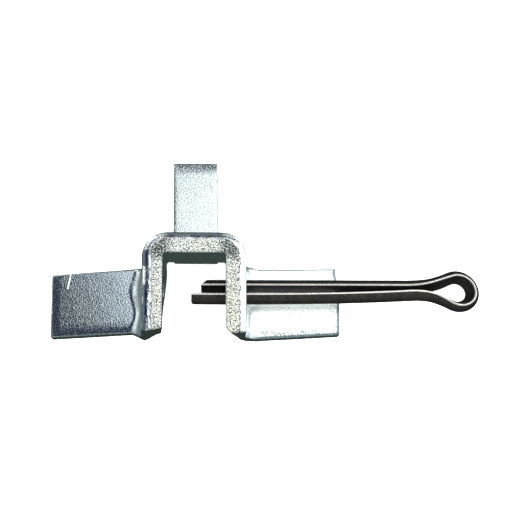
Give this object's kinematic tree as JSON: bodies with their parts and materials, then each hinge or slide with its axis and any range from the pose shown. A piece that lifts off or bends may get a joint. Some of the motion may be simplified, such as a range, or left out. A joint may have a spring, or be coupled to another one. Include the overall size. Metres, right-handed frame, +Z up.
{
  "type": "trailer coupler lock",
  "caption": "Lock for a trailer coupler: a U-shaped saddle bracket of thick zinc-plated plate with outward tabs, and a dark split pin that slides through its legs.",
  "frame": {"origin": "middle of the whole lock's footprint, on the plane it lies on, which is the plane of the backs of the bracket's tabs", "axes": "+X along the split pin towards its eye, +Y from the saddle's mouth towards the top tab, +Z up out of the saddle's front edge"},
  "size_m": [0.135, 0.0572, 0.0286],
  "materials": {
    "zinc_plate": "bright clear zinc plating on rolled steel plate, bluish, lightly mottled, with a rough torn edge where it was sheared",
    "dark_steel": "dark oiled steel wire with fine drawing lines and brighter worn edges"
  },
  "bodies": {
    "bracket": {"coupler_bracket": "zinc_plate"},
    "pin": {"split_pin": "dark_steel"}
  },
  "joints": [
    {"name": "pin_slide", "type": "slide", "parent": "bracket", "child": "pin", "axis": [-1, 0, 0], "range_m": [-0.018, 0.05]}
  ]
}
